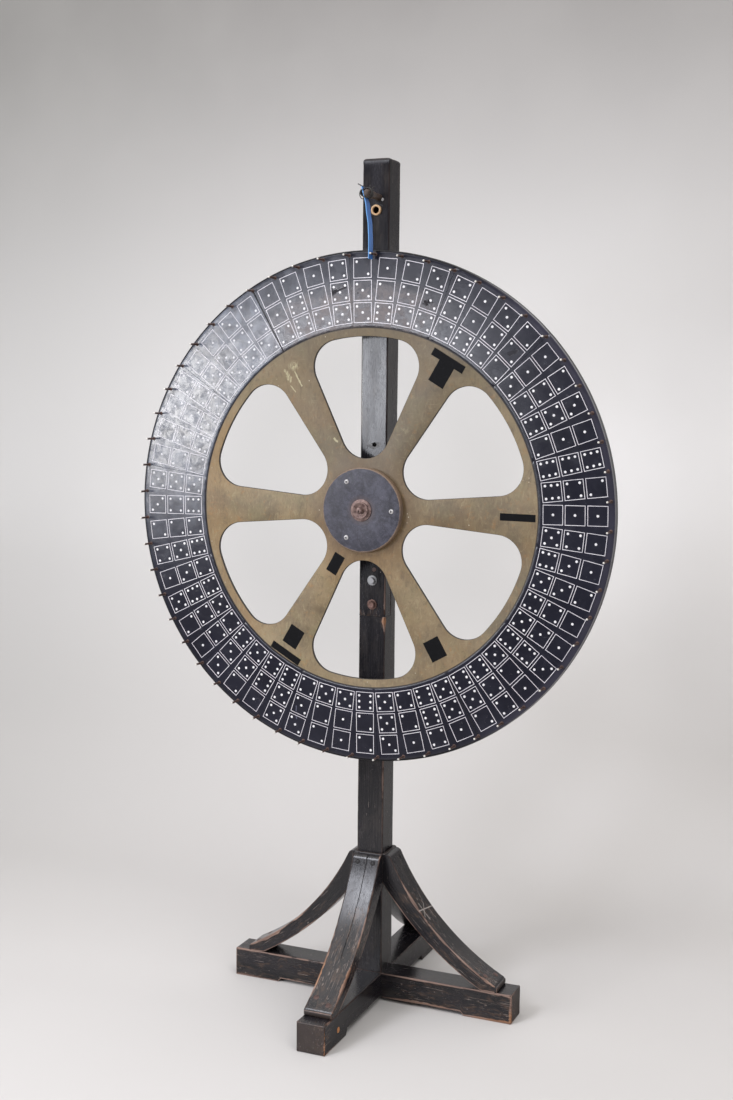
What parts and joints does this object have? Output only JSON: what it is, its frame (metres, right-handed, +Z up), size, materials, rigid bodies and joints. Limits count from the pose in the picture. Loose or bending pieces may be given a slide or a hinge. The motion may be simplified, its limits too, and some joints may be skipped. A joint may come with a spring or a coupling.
{
  "type": "game wheel on a stand",
  "caption": "Vertical dice wheel of chance with rim pins, on a timber post with a braced cross base and a strap that clicks past the pins.",
  "frame": {"origin": "on the floor, under the centre line of the post", "axes": "+Z up, -Y the way the wheel's face looks, +X to the right of a viewer in front"},
  "size_m": [1.2196, 0.75, 2.064],
  "materials": {
    "black_wood": "old black paint over pine, worn through at the edges",
    "gold_paint": "dull gold-brown paint on plywood, scratched",
    "dice_ring": "blue-black varnished board, hazy with wear",
    "slate_paint": "slate paint on plywood, brown at the worn edge",
    "rusty_steel": "browned, rusty steel",
    "zinc_steel": "bright zinc plate",
    "pale_screw": "dull plated steel",
    "blue_strap": "smooth blue plastic",
    "black_wire": "black coated wire",
    "raw_wood": "bare wood, tan, worn round the bore"
  },
  "bodies": {
    "stand": {"front_beam": "black_wood", "side_beam": "black_wood", "lower_post": "black_wood", "upper_post": "black_wood", "right_brace": "black_wood", "back_brace": "black_wood", "left_brace": "black_wood", "front_brace": "black_wood", "foot_bolt": "rusty_steel", "lower_lap_bolt": "rusty_steel", "lower_lap_washer": "rusty_steel", "lower_lap_back_washer": "rusty_steel", "lower_lap_nut": "rusty_steel", "axle": "rusty_steel", "axle_collar": "rusty_steel", "front_axle_washer": "rusty_steel", "back_axle_washer": "rusty_steel", "axle_spacer": "rusty_steel", "axle_nut": "rusty_steel", "axle_nut_washer": "rusty_steel", "flapper_peg": "rusty_steel", "right_brace_screw_1": "rusty_steel", "right_brace_screw_2": "rusty_steel", "back_brace_screw_1": "rusty_steel", "back_brace_screw_2": "rusty_steel", "left_brace_screw_1": "rusty_steel", "left_brace_screw_2": "rusty_steel", "front_brace_screw_1": "rusty_steel", "front_brace_screw_2": "rusty_steel", "upper_lap_bolt": "zinc_steel", "upper_lap_washer": "zinc_steel", "upper_lap_back_washer": "zinc_steel", "upper_lap_nut": "zinc_steel", "flapper_tie": "black_wire", "flapper_ferrule": "raw_wood"},
    "wheel": {"wheel_disc": "gold_paint", "ring_segment_01": "dice_ring", "ring_segment_02": "dice_ring", "ring_segment_03": "dice_ring", "ring_segment_04": "dice_ring", "ring_segment_05": "dice_ring", "ring_segment_06": "dice_ring", "ring_segment_07": "dice_ring", "ring_segment_08": "dice_ring", "ring_segment_09": "dice_ring", "ring_segment_10": "dice_ring", "ring_segment_11": "dice_ring", "ring_segment_12": "dice_ring", "ring_segment_13": "dice_ring", "ring_segment_14": "dice_ring", "front_hub_disc": "slate_paint", "back_hub_disc": "slate_paint", "hub_bush": "rusty_steel", "hub_screw_1": "pale_screw", "hub_screw_2": "pale_screw", "hub_screw_3": "pale_screw"},
    "flapper": {"flapper_strap": "blue_strap"}
  },
  "joints": [
    {"name": "wheel_spin", "type": "hinge", "parent": "stand", "child": "wheel", "pos_m": [0, -0.0838, 1.2355], "axis": [0, 1, 0], "continuous": true},
    {"name": "flapper_flex", "type": "hinge", "parent": "stand", "child": "flapper", "pos_m": [0.012, -0.112, 1.971], "axis": [0, 1, 0], "range_deg": [-30, 30], "stiffness_Nm_per_rad": 0.05}
  ]
}
